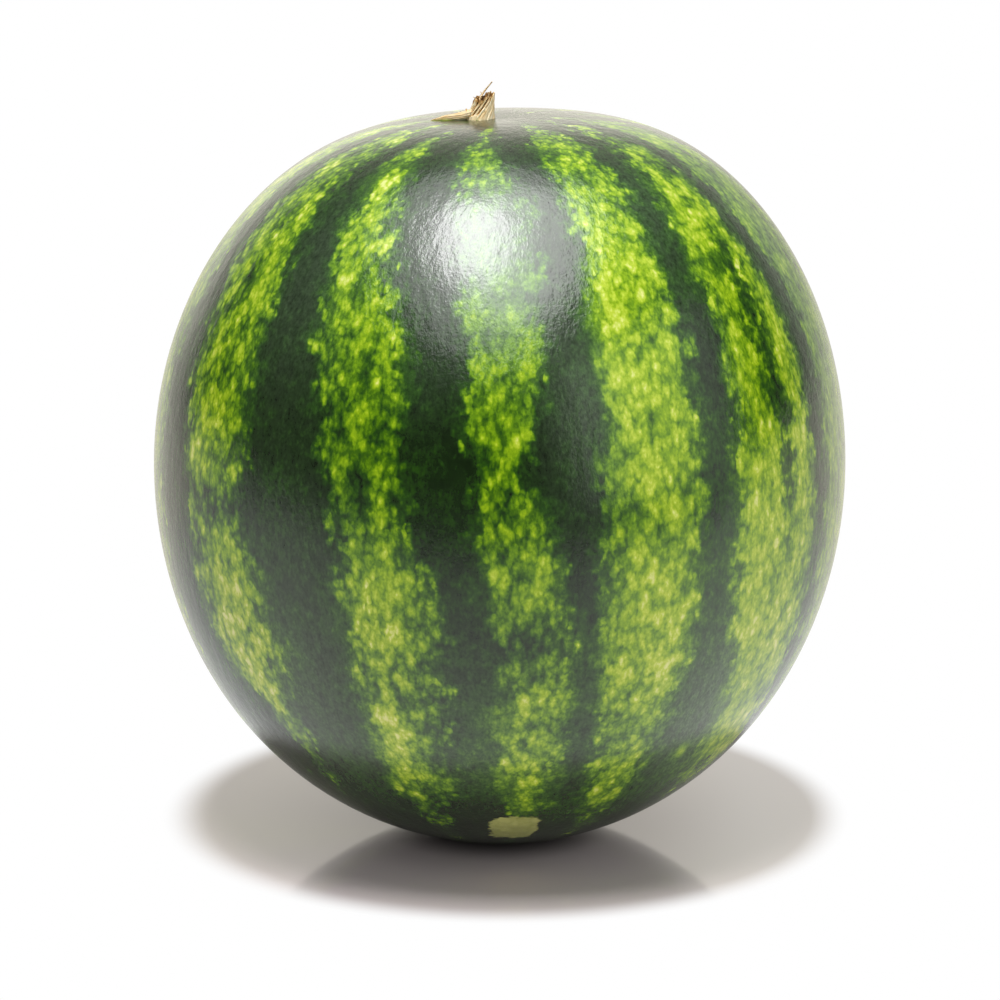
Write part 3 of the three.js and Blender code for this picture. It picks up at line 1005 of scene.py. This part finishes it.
def floor_material():
    """White gloss. Camera and mirror rays see it fade to plain white past the pool of shadow."""
    material, nodes, shader = new_material("table")
    place = nodes.add("ShaderNodeTexCoord").outputs["Object"]
    parts = nodes.add("ShaderNodeSeparateXYZ", {0: place}).outputs
    path = nodes.add("ShaderNodeLightPath").outputs
    mirror = path["Is Glossy Ray"]
    seen = nodes.maths("MAXIMUM", path["Is Camera Ray"], mirror)
    seen = nodes.maths("MAXIMUM", seen, path["Is Transmission Ray"])
    plain = nodes.maths("MULTIPLY", shadow_pool(nodes, place, parts), seen)
    shelter = nodes.step(nodes.distance(place), *SHELTER, SHELTER_LEVEL, 1.0)
    mirrored = nodes.total((mirror, -MIRRORED_LOSS), (1.0, 1.0))
    base = nodes.mix(nodes.maths("MULTIPLY", shelter, mirrored), BLACK, TABLE_COLOUR)
    set_shader(nodes, shader, {"Base Color": base, "Roughness": 0.08, "IOR": 1.5})
    mixed = nodes.add("ShaderNodeMixShader", {
        0: plain, 1: shader.outputs[0], 2: table_glow(nodes, parts, mirror)})
    output = nodes.tree.nodes["Material Output"]
    nodes.give(output.inputs["Surface"], mixed.outputs[0])
    return material


def make_floor():
    sides = 64
    turns = [2 * math.pi * side / sides for side in range(sides)]
    rim = [(math.cos(turn) * FLOOR_RADIUS / MM, math.sin(turn) * FLOOR_RADIUS / MM, 0)
           for turn in turns]
    table = make_object("table", rim, [tuple(range(sides))], smooth=False)
    table.location.z = FRUIT_LOW.z
    table.data.materials.append(floor_material())


def make_area_light(name, place, aim, size, radiance, shape="RECTANGLE"):
    """A flat lamp whose face is that bright, where 1 shows as white."""
    data = bpy.data.lights.new(name, "AREA")
    data.shape = shape
    data.size, data.size_y = size
    area = size[0] * size[1] * (math.pi / 4 if shape == "ELLIPSE" else 1)
    data.energy = radiance * math.pi * area
    light = bpy.data.objects.new(name, data)
    light.location = place
    light.rotation_euler = (Vector(aim) - Vector(place)).to_track_quat("-Z", "Y").to_euler()
    bpy.context.collection.objects.link(light)
    return light


def room_level(nodes, parts):
    """How bright the room is to a mirror ray, by its direction."""
    lift = BACKDROP_LOW - BACKDROP_HIGH
    glare = nodes.maths("MULTIPLY", nodes.step(parts["Z"], *GLARE_HEIGHT, 0.0, lift),
                        nodes.step(parts["X"], *GLARE_RIGHT))
    left = nodes.step(parts["X"], *GLARE_LEFT, GLARE_LEFT_LEVEL, 1.0)
    level = nodes.maths("ADD", nodes.maths("MULTIPLY", glare, left), BACKDROP_HIGH)
    behind = nodes.maths("MULTIPLY", level, nodes.step(parts["Y"], *BACKDROP_DEPTH))
    aside = nodes.step(parts["X"], *ROOM_ASIDE, ROOM_DARK, ROOM_LEFT)
    return nodes.maths("MAXIMUM", behind, aside)


def make_world():
    """A dark room in front and a pale backdrop behind, for mirror rays. The camera sees white,
    and the rest of the light is even."""
    world = bpy.data.worlds.new("studio")
    world.use_nodes = True
    bpy.context.scene.world = world
    nodes = Nodes(world.node_tree)
    direction = nodes.add("ShaderNodeTexCoord").outputs["Generated"]
    parts = nodes.add("ShaderNodeSeparateXYZ", {0: direction}).outputs
    path = nodes.add("ShaderNodeLightPath").outputs
    even = nodes.maths("MULTIPLY", path["Is Diffuse Ray"], ROOM_FILL)
    mirrored = nodes.maths("MULTIPLY", room_level(nodes, parts), path["Is Glossy Ray"])
    plain = nodes.maths("MAXIMUM", path["Is Camera Ray"], path["Is Transmission Ray"])
    strength = nodes.maths("MAXIMUM", nodes.maths("MAXIMUM", even, mirrored), plain)
    background = world.node_tree.nodes["Background"]
    nodes.give(background.inputs["Strength"], strength)
    colour = nodes.mix(path["Is Glossy Ray"], WHITE, BACKDROP_COLOUR)
    nodes.give(background.inputs["Color"], colour)


def make_lamps():
    down = Vector((0, 0, -1))
    for name, (x, y, drop, width, depth, radiance) in SHINES.items():
        place = Vector((x, y, SOFTBOX_HEIGHT - drop))
        shine = make_area_light(name, place, place + down, (width, depth), radiance, "ELLIPSE")
        shine.visible_diffuse = False
    top = Vector((*SOFTBOX_PLACE, SOFTBOX_HEIGHT))
    softbox = make_area_light("softbox", top, top + down, **SOFTBOX)
    softbox.visible_glossy = False
    make_area_light("right_panel", **RIGHT_PANEL)
    front = make_area_light("front_fill", **FRONT_FILL)
    front.visible_glossy = False


def make_studio():
    make_world()
    make_floor()
    make_lamps()
    bpy.context.scene.view_settings.view_transform = "Standard"


make_camera()
rind = make_rind()
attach(rind, "root")
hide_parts("fruit")
stem = make_stem()
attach(stem, "root")
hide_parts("stem")
make_studio()
